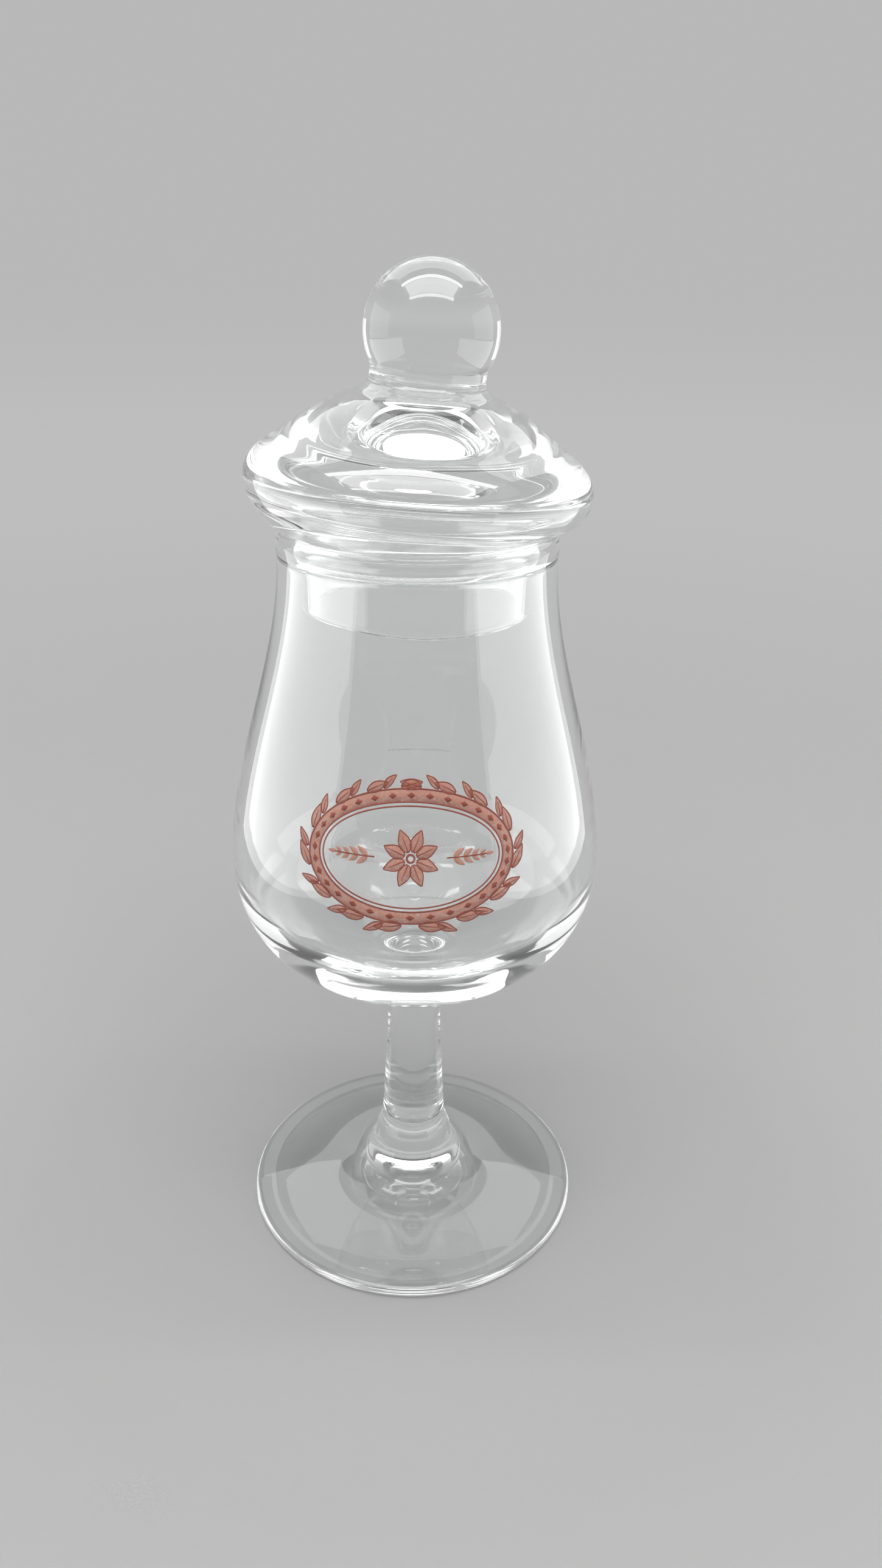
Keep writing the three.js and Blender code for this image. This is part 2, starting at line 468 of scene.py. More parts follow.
    def unevenness(self, angle: np.ndarray, height: np.ndarray) -> np.ndarray:
        """How far hot working pushed the wall out, as a share of its radius: waves above the stem."""
        pushed = self.ripple * waves(angle, height, self.wall_waves)
        return pushed * ramp(height, self.bowl_base, self.bowl_base + self.ripple_start) / self.belly_radius

    def shaped(self, angle: np.ndarray, radius: np.ndarray, height: np.ndarray) -> np.ndarray:
        """Places points of the outline round the axis, with the stem's joint rings and the unevenness."""
        on_stem = ramp(radius, *self.ring_fade) * (radius < self.foot_radius / 3)
        radius = radius + on_stem * rings(height, self.joint_height, self.joint_humps)
        radius = radius * (1.0 + self.unevenness(angle, height))
        return placed(angle, radius, height)

    def skin(self, angle: np.ndarray, height: np.ndarray, lift: np.ndarray) -> np.ndarray:
        """Places points on the outside of the bowl, each raised off it by its own lift.

        Args:
            angle: Angles round the axis, in radians.
            height: Heights above the table.
            lift: Distances off the glass.

        Returns:
            The points, with x, y and z in the last axis.
        """
        way = outline([self.stem()[-1], *self.bowl()], self.outline_step)
        radius = np.interp(height, way[:, 1], way[:, 0])
        radius = radius * (1.0 + self.unevenness(angle, height))
        return placed(angle, radius + lift, height)

    def build(self, material: bpy.types.Material) -> bpy.types.Object:
        """Makes the foot, stem and bowl as one closed surface."""
        way = outline(self.foot() + self.stem() + self.bowl() + self.inside(), self.outline_step)
        return Revolved(way).build("stemware", material, self.shaped)


@dataclass
class Lid:
    """The lid as one body: a hollow dome with a rolled shoulder, a seat, an open plug and a solid ball."""

    seat_height: float
    joint_height: float
    shoulder_radius: float
    mouth_radius: float
    bead_middle: float
    plug_clearance: float = 0.8
    plug_depth: float = 10.4
    plug_wall: float = 1.25
    seat_fillet: float = 0.8
    seat_margin: float = 0.3
    shoulder_height: float = 6.0
    roll_end: Pair = (5.0, 5.6)
    roll_handles: Pair = (0.47, 0.45)
    neck_spread: Pair = (7.0, 4.4)
    shoulder_wall: float = 1.2
    crown_wall: float = 6.8
    vault_radius: float = 16.5
    vault_drop: float = 2.8
    vault_slope: float = 0.36
    ball_radius: float = 8.42
    neck_inset: float = 1.2
    neck_sink: float = -0.6
    neck_length: float = 1.25
    ring_drop: float = 1.4
    edge_wave: float = 0.35
    shell_lean: float = 3.3
    shell_shift: float = -0.2
    knob_shift: float = 0.35
    ripple: float = 0.05
    ripple_fades: Pair = (3.0, 4.0)
    knob_blend: float = 3.0
    ring_band: Triple = (-2.0, -0.5, 3.0)
    outline_step: float = 0.3
    neck_humps: ClassVar[tuple[Triple, ...]] = ((0.15, 0.22, 0.35), (-0.55, -0.3, 0.3), (-1.3, 0.25, 0.4))
    wall_waves: ClassVar[tuple[Wave, ...]] = ((1.0, 2, 0.3, 1.0), (0.7, 3, -0.4, 0.0), (0.5, 7, 0.5, 2.6))
    edge_waves: ClassVar[tuple[Wave, ...]] = ((1.0, 2, 0.0, 0.7), (0.6, 3, 0.0, 2.0), (0.3, 5, 0.0, 0.0))

    @property
    def neck(self) -> float:
        """Radius of the knob's neck."""
        return self.ball_radius - self.neck_inset

    @property
    def top(self) -> float:
        """Height where the dome's flare has become the knob's neck."""
        return self.joint_height - self.neck_sink

    @property
    def plug(self) -> float:
        """Outer radius of the plug."""
        return self.mouth_radius - self.plug_clearance

    def cone(self) -> tuple[np.ndarray, np.ndarray, np.ndarray]:
        """The straight flank of the dome: its lower end, its upper end and the direction up it."""
        shoulder = self.seat_height + self.shoulder_height
        low = np.array([self.shoulder_radius - self.roll_end[0], shoulder + self.roll_end[1]])
        high = np.array([self.neck + self.neck_spread[0], self.top - self.neck_spread[1]])
        return low, high, (high - low) / np.hypot(*(high - low))

    def outside(self) -> list[Points]:
        """Strokes from the plug's edge, up over the seat, shoulder and dome to the top of the ball."""
        seat = self.seat_height
        fillet = self.seat_fillet
        seat_radius = self.bead_middle + self.seat_margin
        shoulder = seat + self.shoulder_height
        low, high, up = self.cone()
        drop = math.sqrt(self.ball_radius**2 - self.neck**2)
        ball_middle = self.top + self.neck_length + drop
        ball_start = -math.degrees(math.atan2(drop, self.neck))
        return [
            line((self.plug, seat - self.plug_depth + self.plug_wall / 2), (self.plug, seat - fillet)),
            arc((self.plug + fillet, seat - fillet), fillet, 180, 90),
            swept((seat_radius, seat), (self.shoulder_radius, shoulder), (0.6, 0.22), (1, 0.5)),
            bezier(
                (self.shoulder_radius, shoulder),
                (self.shoulder_radius, shoulder + self.roll_handles[0] * self.roll_end[1]),
                tuple(low - self.roll_handles[1] * self.roll_end[0] * up),
                tuple(low),
            ),
            line(tuple(low), tuple(high)),
            bezier(
                tuple(high),
                tuple(high + 0.65 * self.neck_spread[0] * up),
                (self.neck, self.top - 0.45 * self.neck_spread[1]),
                (self.neck, self.top),
            ),
            arc((0, ball_middle), self.ball_radius, ball_start, 90, steps=80),
        ]

    def inside(self) -> list[Points]:
        """Strokes from the middle of the hollow's vault, out and down to the plug's edge."""
        seat = self.seat_height
        plug_inside = self.plug - self.plug_wall
        edge = self.plug_wall / 2
        shoulder = seat + 0.9 * self.shoulder_height
        shoulder_inside = self.shoulder_radius - self.shoulder_wall
        roof = self.joint_height - self.crown_wall
        vault = roof - self.vault_drop
        third = self.vault_radius / 3
        return [
            bezier(
                (0, roof),
                (third, roof),
                (self.vault_radius - third, vault + self.vault_slope * third),
                (self.vault_radius, vault),
            ),
            swept((self.vault_radius, vault), (shoulder_inside, shoulder), (0.55, 0.35), (1, 0.45)),
            bezier(
                (shoulder_inside, shoulder),
                (shoulder_inside, seat + 0.3 * self.shoulder_height),
                (plug_inside, seat + 0.4 * self.shoulder_height),
                (plug_inside, seat - self.seat_fillet),
            ),
            arc((plug_inside + edge, seat - self.plug_depth + edge), edge, 180, 360),
        ]

    def unevenness(self, angle: np.ndarray, height: np.ndarray) -> np.ndarray:
        """How far hot working pushed the wall out, as a share of its radius: calm at seat and ball."""
        dome = ramp(height, self.seat_height, self.seat_height + self.ripple_fades[0])
        knob = ramp(height, self.joint_height, self.joint_height + self.ripple_fades[1])
        pushed = self.ripple * waves(angle, height, self.wall_waves) * dome * (1.0 - 0.7 * knob)
        return pushed / self.shoulder_radius

    def leaned(self, points: np.ndarray) -> np.ndarray:
        """Turns the dome and knob about the middle of the seat by the lean, and shifts the knob further.

        A point at x across and u above the seat goes to x cos l + u sin l across and u cos l - x sin l up.
        """
        up = points[..., 2] - self.seat_height
        across = points[..., 0]
        lean = math.radians(self.shell_lean)
        turned = np.stack(
            [
                across * math.cos(lean) + up * math.sin(lean) + self.shell_shift,
                points[..., 1],
                self.seat_height + up * math.cos(lean) - across * math.sin(lean),
            ],
            axis=-1,
        )
        blend = self.knob_blend
        on_knob = ramp(points[..., 2], self.joint_height - blend, self.joint_height + blend)
        turned[..., 0] += self.knob_shift * on_knob
        share = ramp(up, 0.0, 0.7 * self.shoulder_height)[..., None]
        return points * (1.0 - share) + turned * share

    def shaped(self, angle: np.ndarray, radius: np.ndarray, height: np.ndarray) -> np.ndarray:
        """Places points of the outline round the axis, with the rings, the waves and the lean."""
        start, full, end = (self.neck + away for away in self.ring_band)
        on_neck = ramp(radius, start, full) * (radius < end)
        radius = radius + rings(height, self.top - self.ring_drop, self.neck_humps) * on_neck
        radius = radius * (1.0 + self.unevenness(angle, height))
        edge = self.seat_height - self.plug_depth
        on_edge = 1.0 - ramp(height, edge, self.seat_height - 0.4 * self.plug_depth)
        height = height + self.edge_wave * 0.5 * waves(angle, height, self.edge_waves) * on_edge
        return self.leaned(placed(angle, radius, height))

    def build(self, material: bpy.types.Material) -> bpy.types.Object:
        """Makes the shell and the knob as one closed surface."""
        way = outline(self.inside() + self.outside(), self.outline_step)
        return Revolved(way).build("lid", material, self.shaped)


@dataclass(frozen=True)
class Stroke:
    """A brush stroke in the flat of the ornament: a path, and half its width all along or at each point."""

    path: Points
    half: np.ndarray | float
    closed: bool = False

    def edges(self) -> tuple[np.ndarray, np.ndarray]:
        """Its right and left edge: the path less and plus the half width along the path's own normal."""
        if self.closed:
            along = np.roll(self.path, -1, axis=0) - np.roll(self.path, 1, axis=0)
        else:
            along = np.gradient(self.path, axis=0)
        along = along / np.hypot(along[:, 0], along[:, 1])[:, None]
        half = np.broadcast_to(self.half, len(self.path))
        across = np.stack([-along[:, 1], along[:, 0]], axis=1) * half[:, None]
        return self.path - across, self.path + across


@dataclass
class Ornament:
    """The ornament fired on the front of the bowl: leaves round an oval band, a rosette and two sprigs.

    It is drawn flat, in millimetres round the bowl and up it from its own middle, and laid on the glass
    as a film of enamel.
    """

    stemware: Stemware
    middle_height: float = 72.4
    oval: Pair = (13.2, 7.7)
    band: float = 0.8
    leaves: int = 15
    leaf: Pair = (3.7, 1.4)
    leaf_bend: float = 0.35
    leaf_turns: Pair = (0.24, 0.72)
    leaf_scales: Pair = (1.0, 0.78)
    petals: int = 8
    petal: Pair = (3.1, 1.6)
    sprig_places: tuple[float, ...] = (5.6, 6.9, 8.1, 9.2)
    sprig_end: float = 9.9
    sprig_tip: Pair = (1.3, 0.5)
    sprig_stem: Pair = (4.7, 10.1)
    stem_half: float = 0.09
    eye_radius: float = 0.5
    eye_half: float = 0.14
    lozenges_round: int = 32
    lozenge: Pair = (0.55, 0.36)
    line_width: float = 0.2
    film: float = 0.02
    fill_lift: float = 0.012
    line_lift: float = 1.4
    mark_height: float = 66.0
    mark_length: float = 11.0
    mark_half: float = 0.12

    def oval_at(self, grow: float, t: np.ndarray) -> Points:
        """Points of an oval: (a cos t, b sin t), with a and b both grown by the same length."""
        return np.stack([(self.oval[0] + grow) * np.cos(t), (self.oval[1] + grow) * np.sin(t)], axis=1)

    def ring(self, grow: float, half: float) -> Stroke:
        """A closed line or band along the oval."""
        path = self.oval_at(grow, np.radians(np.linspace(-90, 270, 160, endpoint=False)))
        return Stroke(path, half, closed=True)

    def blade(self, root: Points, heading: float, size: Pair, bend: float = 0.0) -> Stroke:
        """A leaf or petal: its half width is the sine of pi times t to the power 0.8, t the way along.

        Args:
            root: Where it grows from.
            heading: The way it points, in radians.
            size: Its length and its greatest width.
            bend: How far its tip swings to the left.

        Returns:
            The stroke.
        """
        t = np.linspace(0.02, 0.98, 13)
        ahead = np.array([math.cos(heading), math.sin(heading)])
        aside = np.array([-ahead[1], ahead[0]])
        path = root + size[0] * t[:, None] * ahead + bend * (t**2)[:, None] * aside
        return Stroke(path, 0.5 * size[1] * np.sin(np.pi * t**0.8))

    def rib(self, blade: Stroke, share: float = 0.82) -> Stroke:
        """A fine line along the middle of a leaf, tapering to its tip."""
        path = blade.path[: int(len(blade.path) * share)]
        return Stroke(path, np.linspace(0.42, 0.15, len(path)) * self.line_width)

    def rim(self, blade: Stroke) -> list[Stroke]:
        """Fine lines along both edges of a leaf or petal."""
        return [Stroke(edge, 0.32 * self.line_width) for edge in blade.edges()]

    def evenly(self, grow: float, count: int) -> np.ndarray:
        """Angles t up one side of the oval, at equal steps of its length."""
        t = np.radians(np.linspace(-86.0, 84.0, 400))
        way = self.oval_at(grow, t)
        run = np.concatenate([[0.0], np.cumsum(np.hypot(*np.diff(way, axis=0).T))])
        return np.interp(np.linspace(0.0, run[-1], count), run, t)

    def garland(self) -> list[Stroke]:
        """Leaves along the oval, in two runs that rise from the bottom and meet at the top."""
        blades = []
        grow = self.band + 0.2
        wide = self.oval[0] + grow
        tall = self.oval[1] + grow
        for side in (-1.0, 1.0):
            for i, angle in enumerate(self.evenly(grow, self.leaves)):
                root = np.array([side * wide * math.cos(angle), tall * math.sin(angle)])
                heading = math.atan2(tall * math.cos(angle), -side * wide * math.sin(angle))
                scale = self.leaf_scales[i % 2] * (1.0 - 0.15 * i / self.leaves)
                size = (self.leaf[0] * scale, self.leaf[1] * scale)
                turned = heading - side * self.leaf_turns[i % 2]
                blades.append(self.blade(root, turned, size, self.leaf_bend * side))
        return blades

    def rosette(self) -> list[Stroke]:
        """Petals at equal angles round a small eye."""
        headings = np.arange(self.petals) * 2.0 * math.pi / self.petals + math.pi / self.petals
        return [self.blade(0.75 * np.array([math.cos(h), math.sin(h)]), h, self.petal) for h in headings]

    def sprigs(self) -> list[Stroke]:
        """Two small sprigs, left and right of the rosette, of pairs of leaves and one at the tip."""
        blades = []
        for side in (-1.0, 1.0):
            for i, x in enumerate(self.sprig_places):
                for up in (-1.0, 1.0):
                    heading = math.atan2(up * 1.0, side * 1.1)
                    size = (1.9 - 0.3 * i, 0.75 - 0.1 * i)
                    blades.append(self.blade(np.array([side * x, 0.0]), heading, size, -0.2 * up * side))
            end = np.array([side * self.sprig_end, 0.0])
            blades.append(self.blade(end, math.atan2(0.0, side), self.sprig_tip))
        return blades

    def lozenges(self) -> list[Stroke]:
        """Small lozenges along the band: the half width rises straight to the middle and falls again."""
        shapes = []
        half_length, half_width = self.lozenge
        for t in np.linspace(0.0, 360.0, self.lozenges_round + 1)[:-1]:
            middle, ahead = self.oval_at(0.0, np.radians(np.linspace(t, t + 1.0, 2)))
            along = (ahead - middle) / np.hypot(*(ahead - middle))
            way = np.linspace(-half_length, half_length, 9)
            half = half_width * (1.0 - np.abs(way) / (half_length + 0.01)) + 0.01
            shapes.append(Stroke(middle + way[:, None] * along, half))
        return shapes

    def eye(self) -> list[Stroke]:
        """The eye of the rosette and the stems of the sprigs."""
        t = np.linspace(0.0, 2.0 * math.pi, 24, endpoint=False)
        circle = self.eye_radius * np.stack([np.cos(t), np.sin(t)], axis=1)
        out = np.linspace(*self.sprig_stem, 14)
        stems = [np.stack([side * out, np.zeros(len(out))], axis=1) for side in (-1.0, 1.0)]
        eye = Stroke(circle, self.eye_half, closed=True)
        return [eye, *(Stroke(stem, self.stem_half) for stem in stems)]

    def filling_mark(self) -> Stroke:
        """The line to which the glass is filled: a straight stroke round the back of the bowl."""
        across = np.linspace(-0.5, 0.5, 24) * self.mark_length
        up = np.full(len(across), self.mark_height - self.middle_height)
        return Stroke(np.stack([across, up], axis=1), self.mark_half)

    def laid(
        self, strokes: list[Stroke], lift: float, facing: float = -90.0
    ) -> tuple[np.ndarray, np.ndarray]:
        """Lays strokes on the bowl as closed films: three points below and three above, along each path.

        Args:
            strokes: The strokes to lay.
            lift: The height of the film's underside off the glass.
            facing: The angle round the bowl of the middle of the drawing, in degrees.

        Returns:
            Points and triangles.
        """
        points = []
        faces = []
        count = 0
        for stroke in strokes:
            right, left = stroke.edges()
            across = np.stack([right, stroke.path, left, left, stroke.path, right], axis=1)
            rows, around = across.shape[:2]
            angle = math.radians(facing) + across[..., 0] / self.stemware.belly_radius
            height = self.middle_height + across[..., 1]
            off = np.full((rows, around), lift)
            off[:, 3:] += self.film
            points.append(self.stemware.skin(angle, height, off).reshape(-1, 3))
            faces.append(count + tube_faces(rows, around, stroke.closed))
            count += rows * around
        return np.concatenate(points), np.concatenate(faces)

    def build(
        self, fill: bpy.types.Material, line_colour: bpy.types.Material, frost: bpy.types.Material
    ) -> list[bpy.types.Object]:
        """Makes the pale fills, the darker lines over them, and the filling mark on the back."""
        blades = self.garland() + self.rosette()
        fills = blades + self.sprigs() + [self.ring(0.0, self.band)]
        lines = [self.rib(blade) for blade in blades] + self.lozenges() + self.eye()
        lines += [edge for blade in blades for edge in self.rim(blade)]
        grows = (-self.band - 0.5, -self.band, self.band)
        lines += [self.ring(grow, 0.5 * self.line_width) for grow in grows]
        lift = self.fill_lift
        over = lift + self.line_lift * self.film
        return [
            mesh_object("ornament_fill", *self.laid(fills, lift), fill),
            mesh_object("ornament_lines", *self.laid(lines, over), line_colour),
            mesh_object("filling_mark", *self.laid([self.filling_mark()], lift, facing=90.0), frost),
        ]


# Finishes


@dataclass(frozen=True)
class Wiring:
    """Adds shader nodes to one tree and joins their sockets."""

    tree: bpy.types.NodeTree

    def feed(self, node: bpy.types.Node, sources: dict[str | int, object]) -> None:
        """Gives inputs their values, or joins them to the sockets that feed them.

        Args:
            node: The node.
            sources: A plain value or an output socket, by the input's name or number.
        """
        for label, source in sources.items():
            if isinstance(source, bpy.types.NodeSocket):
                self.tree.links.new(source, node.inputs[label])
            else:
                node.inputs[label].default_value = source

    def add(self, kind: str, sources: dict[str | int, object], **settings: object) -> bpy.types.Node:
        """Adds a node.

        Args:
            kind: Its type, without the word ShaderNode in front.
            sources: A plain value or an output socket, by the input's name or number.
            **settings: The node's own settings, made before its inputs are fed.

        Returns:
            The node.
        """
        node = self.tree.nodes.new("ShaderNode" + kind)
        for label, setting in settings.items():
            setattr(node, label, setting)
        self.feed(node, sources)
        return node

    def maths(self, operation: str, *values: object) -> bpy.types.NodeSocket:
        """The result of a Math node on sockets or numbers."""
        return self.add("Math", dict(enumerate(values)), operation=operation).outputs[0]

    def noise(self, place: bpy.types.NodeSocket, scale: float, detail: float) -> bpy.types.NodeSocket:
        """A noise from 0 to 1 at the given place, of so many waves to the metre."""
        return self.add("TexNoise", {"Vector": place, "Scale": scale, "Detail": detail}).outputs["Fac"]

    def spread(
        self,
        given: bpy.types.NodeSocket,
        start: Pair = (0.0, 1.0),
        end: Pair = (0.0, 1.0),
        **settings: object,
    ) -> bpy.types.NodeSocket:
        """Carries the range start over to the range end, and holds the value inside it."""
        sources = {"Value": given, "From Min": start[0], "From Max": start[1]}
        sources |= {"To Min": end[0], "To Max": end[1]}
        return self.add("MapRange", sources, **settings).outputs["Result"]


def socket_group(name: str, inputs: dict[str, float], outputs: tuple[str, ...]) -> bpy.types.ShaderNodeTree:
    """Starts a shader node group with named float sockets.

    Args:
        name: The group's name.
        inputs: Each input's name and default value.
        outputs: The outputs' names.

    Returns:
        The group, with its input and output nodes in place.
    """
    group = bpy.data.node_groups.new(name, "ShaderNodeTree")
    for label, value in inputs.items():
        socket = group.interface.new_socket(label, in_out="INPUT", socket_type="NodeSocketFloat")
        socket.default_value = value
    for label in outputs:
        group.interface.new_socket(label, in_out="OUTPUT", socket_type="NodeSocketFloat")
    group.nodes.new("NodeGroupInput").name = "in"
    group.nodes.new("NodeGroupOutput").name = "out"
    return group


def handling_marks() -> bpy.types.ShaderNodeTree:
    """What use and hot working leave on glass: fine scratches, dull smears and slow ripples."""
    group = socket_group(
        "handling marks",
        {"Scratches": 0.5, "Smears": 0.3, "Ripples": 0.5},
        ("Roughness", "Height"),
    )
    given = group.nodes["in"].outputs
    wiring = Wiring(group)
    place = wiring.add("TexCoord", {}).outputs["Object"]
    stretched = wiring.add("Mapping", {"Vector": place, "Scale": (1.0, 1.0, 0.12)}).outputs["Vector"]
    scratches = wiring.spread(wiring.noise(stretched, 5200.0, 2.0), (0.66, 0.78))
    smears = wiring.spread(wiring.noise(place, 90.0, 5.0), (0.5, 0.75))
    total = wiring.maths(
        "ADD",
        wiring.maths("MULTIPLY", scratches, given["Scratches"]),
        wiring.maths("MULTIPLY", smears, given["Smears"]),
    )
    rough = wiring.spread(total, end=(0.004, 0.22))
    height = wiring.maths("MULTIPLY", wiring.noise(place, 160.0, 1.0), given["Ripples"])
    wiring.feed(group.nodes["out"], {"Roughness": rough, "Height": height})
    return group


def new_material(name: str) -> tuple[bpy.types.Material, Wiring, bpy.types.Node]:
    """Starts a material.

    Args:
        name: Its name.

    Returns:
        The material, the wiring of its nodes and its Principled shader.
    """
    material = bpy.data.materials.new(name)
    material.use_nodes = True
    return material, Wiring(material.node_tree), material.node_tree.nodes["Principled BSDF"]


@dataclass(frozen=True)
class ClearGlass:
    """Colourless glass that lets lamp light through to the floor, with a darker edge to its shadow."""

    name: str
    tint: Triple = (0.985, 0.996, 0.992)
    index: float = 1.52
    scratches: float = 0.5
    smears: float = 0.3
    ripples: float = 0.5
    bump_depth: float = 0.00001
    bump_strength: float = 0.25
    shadow_blend: float = 0.35
    shadow_edge: float = 0.8

    def build(self, marks: bpy.types.ShaderNodeTree) -> bpy.types.Material:
        """Makes the material.

        Args:
            marks: The handling marks group.

        Returns:
            The material.
        """
        material, wiring, glass = new_material(self.name)
        strengths = {"Scratches": self.scratches, "Smears": self.smears, "Ripples": self.ripples}
        marked = wiring.add("Group", strengths, node_tree=marks).outputs
        depth = {"Strength": self.bump_strength, "Distance": self.bump_depth}
        bump = wiring.add("Bump", {"Height": marked["Height"], **depth})
        looks = {
            "Base Color": (*self.tint, 1.0),
            "Transmission Weight": 1.0,
            "IOR": self.index,
            "Roughness": marked["Roughness"],
            "Normal": bump.outputs["Normal"],
        }
        wiring.feed(glass, looks)
        facing = wiring.add("LayerWeight", {"Blend": self.shadow_blend}).outputs["Facing"]
        shade = wiring.spread(facing, end=(1.0, self.shadow_edge))
        clear = wiring.add("BsdfTransparent", {"Color": shade}).outputs["BSDF"]
        shadow = wiring.add("LightPath", {}).outputs["Is Shadow Ray"]
        either = wiring.add("MixShader", {0: shadow, 1: glass.outputs["BSDF"], 2: clear})
        wiring.feed(material.node_tree.nodes["Material Output"], {"Surface": either.outputs["Shader"]})
        return material


@dataclass(frozen=True)
class Enamel:
    """Copper-red enamel fired on as a thin film: mottled, a little glossy, and partly clear."""

    name: str
    pale: Triple
    deep: Triple
    cover: Pair = (0.62, 0.86)
    roughness: float = 0.42

    def build(self) -> bpy.types.Material:
        """Makes the material: slow noise picks the colour, and finer noise how well the film covers."""
        material, wiring, paint = new_material(self.name)
        place = wiring.add("TexCoord", {}).outputs["Object"]
        mottle = wiring.noise(place, 260.0, 3.0)
        colours = {"Factor": mottle, "A": (*self.pale, 1.0), "B": (*self.deep, 1.0)}
        colour = wiring.add("Mix", colours, data_type="RGBA").outputs["Result"]
        cover = wiring.spread(wiring.noise(place, 2600.0, 3.0), (0.3, 0.7), self.cover)
        wiring.feed(paint, {"Base Color": colour, "Roughness": self.roughness, "Alpha": cover})
        return material


# The studio


class Use(Enum):
    """What a soft box is hung for."""

    LAMP = "lights everything, and shows in the glass"
    CARD = "shows only where the glass mirrors it"
    SHEEN = "shows only in the outer skin of the glass"
    FILL = "lights only dull surfaces"


@dataclass(frozen=True)
class SoftBox:
    """A rectangular lamp: its place and target in millimetres, its sides, its radiance and its use."""

    name: str
    place: Triple
    target: Triple
    sides: Pair
    radiance: float
    use: Use = Use.LAMP

    def build(self) -> None:
        """Hangs the lamp. Its power is pi times its radiance times its area, as a dull panel gives."""
        lamp = bpy.data.lights.new(self.name, "AREA")
        lamp.shape = "RECTANGLE"
        lamp.size = self.sides[0] * MM
        lamp.size_y = self.sides[1] * MM
        lamp.energy = self.radiance * math.pi * lamp.size * lamp.size_y
        holder = bpy.data.objects.new(self.name, lamp)
        holder.location = Vector(self.place) * MM
        aim = Vector(self.target) * MM - holder.location
        holder.rotation_euler = aim.to_track_quat("-Z", "Y").to_euler()
        holder.visible_camera = False
        holder.visible_diffuse = self.use in (Use.LAMP, Use.FILL)
        holder.visible_glossy = self.use is not Use.FILL
        holder.visible_transmission = self.use is not Use.FILL
        if self.use in (Use.CARD, Use.SHEEN):
            self.only_mirrored(lamp)
        bpy.context.scene.collection.objects.link(holder)

    def only_mirrored(self, lamp: bpy.types.AreaLight) -> None:
        """Lets the lamp shine only on rays that were mirrored on their way, never straight through glass.

        A sheen shines only on those that also went through no glass, so only the outer skin shows it.
        """
        lamp.use_nodes = True
        wiring = Wiring(lamp.node_tree)
        path = wiring.add("LightPath", {}).outputs
        share = wiring.maths("MINIMUM", path["Glossy Depth"], 1.0)
        if self.use is Use.SHEEN:
            outside = wiring.maths("LESS_THAN", path["Transmission Depth"], 0.5)
            share = wiring.maths("MULTIPLY", share, outside)
        wiring.feed(lamp.node_tree.nodes["Emission"], {"Strength": share})


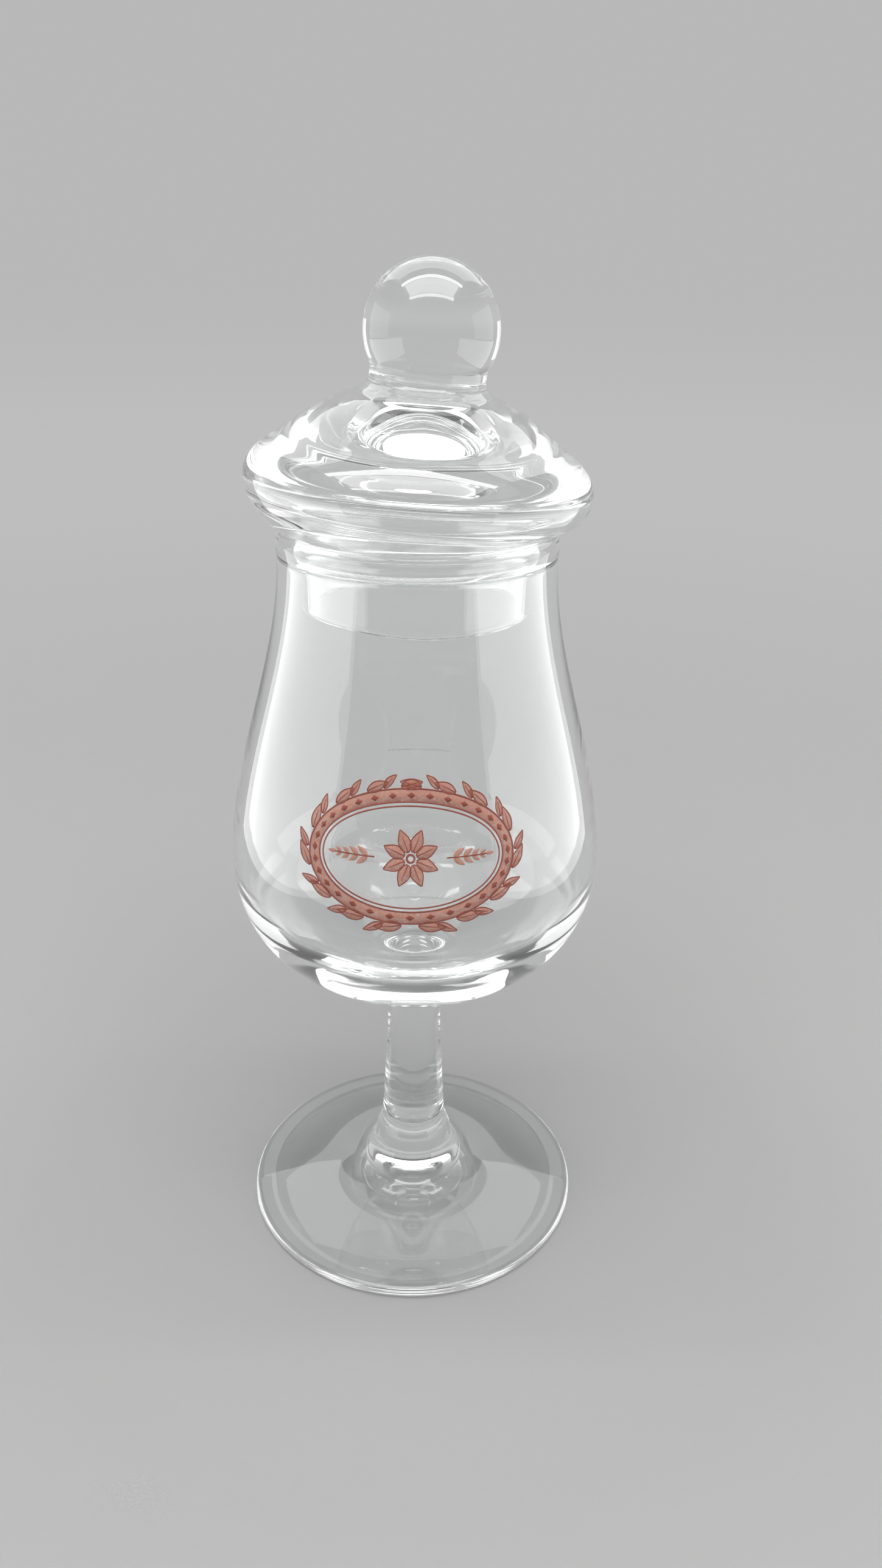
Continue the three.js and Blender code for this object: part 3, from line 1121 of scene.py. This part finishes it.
@dataclass
class Studio:
    """A plain pale floor, a tent of soft boxes, a pale world and the camera that took the photograph."""

    floor_shade: float = 0.5
    floor_half_side: float = 40000.0
    floor_gap: float = 0.1
    far_glow: float = 0.378
    glow_start: float = 60.0
    glow_reach: float = 350.0
    glow_reaches: float = 12.0
    world_low: float = 0.482
    world_high: float = 0.12
    world_change: Pair = (0.36, 0.62)
    focal_pixels: float = 1945.1
    frame_pixels: tuple[int, int] = (1449, 2576)
    camera_place: Triple = (3.57, -153.18, 140.27)
    pitch: float = 24.23
    roll: float = 0.96
    lamps: list[SoftBox] = field(
        default_factory=lambda: [
            SoftBox("strip over the middle", (0, 2, 300), (0, 2, 0), (250, 20), 8.5),
            SoftBox("strip over the front", (0, -112, 300), (0, -112, 0), (250, 22), 8.5),
            SoftBox("tent roof", (0, -40, 312), (0, -40, 0), (280, 230), 0.5),
            SoftBox("panel left", (-165, 20, 148), (0, 0, 110), (150, 92), 0.85),
            SoftBox("panel right", (165, 20, 148), (0, 0, 110), (150, 92), 0.85),
            SoftBox("card left", (-168, -20, 50), (0, -20, 50), (270, 100), 1.7, Use.CARD),
            SoftBox("card right", (168, -20, 50), (0, -20, 50), (270, 100), 1.7, Use.CARD),
            SoftBox("glow between the strips", (0, -55, 304), (0, -55, 0), (230, 90), 5.0, Use.SHEEN),
            SoftBox("high back", (0, 360, 560), (0, 0, 100), (800, 400), 1.9, Use.CARD),
            SoftBox("fill", (0, -150, 900), (0, 0, 0), (1100, 1100), 1.2, Use.FILL),
        ]
    )

    def seen_rays(self, wiring: Wiring) -> bpy.types.NodeSocket:
        """Is 1 for a ray from the camera, a mirror or a pane of glass, and 0 for one that only lights."""
        path = wiring.add("LightPath", {}).outputs
        total = path["Is Camera Ray"]
        for label in ("Is Glossy Ray", "Is Transmission Ray"):
            total = wiring.maths("MAXIMUM", total, path[label])
        return total

    def floor(self) -> None:
        """Lays the floor. Its far part, out of the lamps' reach, glows a little for rays that see it.

        The glow is one less e to the minus the distance past its start over its reach.
        """
        side = self.floor_half_side
        down = -self.floor_gap
        ways = ((-1, -1), (1, -1), (1, 1), (-1, 1))
        points = np.array([[x * side, y * side, down] for x, y in ways], float)
        material, wiring, paint = new_material("pale floor")
        place = wiring.add("TexCoord", {}).outputs["Object"]
        away = wiring.add("VectorMath", {0: place}, operation="LENGTH").outputs["Value"]
        end = self.glow_start + self.glow_reaches * self.glow_reach
        falling = wiring.spread(
            away, (self.glow_start * MM, end * MM), (0.0, -self.glow_reaches), clamp=True
        )
        glow = wiring.spread(wiring.maths("EXPONENT", falling), end=(self.far_glow, 0.0))
        looks = {
            "Base Color": (self.floor_shade,) * 3 + (1.0,),
            "Roughness": 0.9,
            "Specular IOR Level": 0.0,
            "Emission Color": (1.0, 1.0, 1.0, 1.0),
            "Emission Strength": wiring.maths("MULTIPLY", glow, self.seen_rays(wiring)),
        }
        wiring.feed(paint, looks)
        mesh_object("floor", points, np.array([[0, 1, 2, 3]]), material)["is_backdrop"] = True

    def world(self) -> None:
        """Surrounds the scene: pale as the floor low down, and a darker ceiling behind the lamps."""
        world = bpy.data.worlds.new("pale room")
        world.use_nodes = True
        wiring = Wiring(world.node_tree)
        place = wiring.add("TexCoord", {}).outputs["Generated"]
        up = wiring.add("SeparateXYZ", {"Vector": place}).outputs["Z"]
        shades = (self.world_low, self.world_high)
        shade = wiring.spread(up, self.world_change, shades, interpolation_type="SMOOTHSTEP")
        wiring.feed(world.node_tree.nodes["Background"], {"Color": shade})
        bpy.context.scene.world = world

    def camera(self) -> None:
        """Stands the camera where the photograph was taken from."""
        lens = bpy.data.cameras.new("camera")
        lens.sensor_fit = "VERTICAL"
        lens.sensor_height = 36.0
        lens.lens = self.focal_pixels / self.frame_pixels[1] * lens.sensor_height
        lens.clip_start = 0.01
        holder = bpy.data.objects.new("camera", lens)
        tilt = Euler((math.radians(90.0 - self.pitch), 0.0, 0.0)).to_matrix().to_4x4()
        turn = Matrix.Rotation(math.radians(self.roll), 4, "Z")
        holder.matrix_world = Matrix.Translation(Vector(self.camera_place) * MM) @ tilt @ turn
        bpy.context.scene.collection.objects.link(holder)
        bpy.context.scene.camera = holder

    def build(self) -> None:
        """Sets up the camera, the floor, the light and the colour management."""
        self.camera()
        self.floor()
        self.world()
        for lamp in self.lamps:
            lamp.build()
        scene = bpy.context.scene
        scene.view_settings.view_transform = "Standard"
        scene.cycles.max_bounces = 48
        scene.cycles.glossy_bounces = 48
        scene.cycles.transmission_bounces = 48
        scene.cycles.transparent_max_bounces = 64


@dataclass
class CoveredGlass:
    """The whole object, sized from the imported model."""

    stemware: Stemware
    lid: Lid
    seat_gap: ClassVar[float] = 0.3

    @classmethod
    def from_frame(cls) -> CoveredGlass:
        """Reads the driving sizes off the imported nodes' boxes.

        Returns:
            The object, ready to build.
        """
        foot, bowl, shell = (np.array(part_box(node)) / MM for node in ("foot", "bowl", "lid_shell"))
        stemware = Stemware(
            foot_radius=foot[1][0],
            joint_height=foot[1][2],
            bowl_base=bowl[0][2],
            rim_height=bowl[1][2],
            belly_radius=bowl[1][0],
        )
        rim = stemware.neck_radius + stemware.bead_proud
        lid = Lid(
            seat_height=stemware.rim_height + cls.seat_gap,
            joint_height=shell[1][2],
            shoulder_radius=shell[1][0],
            mouth_radius=rim - 2 * stemware.bead_radius,
            bead_middle=stemware.bead_middle,
        )
        return cls(stemware, lid)

    def build(self) -> None:
        """Builds every piece, puts each on its body and hides the nodes that it stands for."""
        marks = handling_marks()
        glass = self.stemware.build(ClearGlass("stemware glass").build(marks))
        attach(glass, Body.STEMWARE.value)
        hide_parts("foot", "stem", "bowl")
        LOG.info("stemware: %d faces", len(glass.data.polygons))
        fill = Enamel("copper enamel fill", (0.80, 0.36, 0.25), (0.66, 0.26, 0.175), (0.42, 0.74))
        lines = Enamel("copper enamel line", (0.46, 0.13, 0.09), (0.38, 0.09, 0.06), (0.7, 0.95))
        frost = Enamel("pale frosting", (0.86, 0.87, 0.87), (0.78, 0.80, 0.80), (0.35, 0.6))
        for film in Ornament(self.stemware).build(fill.build(), lines.build(), frost.build()):
            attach(film, Body.STEMWARE.value)
            LOG.info("%s: %d faces", film.name, len(film.data.polygons))
        cover = self.lid.build(ClearGlass("lid glass").build(marks))
        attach(cover, Body.LID.value)
        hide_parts("lid_shell", "lid_knob")
        LOG.info("lid: %d faces", len(cover.data.polygons))


def corners(box: tuple[Vector, Vector]) -> list[list[float]]:
    """A box's two corners as plain lists of numbers."""
    return [list(corner) for corner in box]


def main() -> None:
    """Loads the frame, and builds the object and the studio."""
    logging.basicConfig(level=logging.INFO, format="%(name)s: %(message)s")
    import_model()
    packed = corners(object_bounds())
    Studio().build()
    CoveredGlass.from_frame().build()
    {"cad": packed, "visual": corners(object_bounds())}


if __name__ == "__main__":
    main()
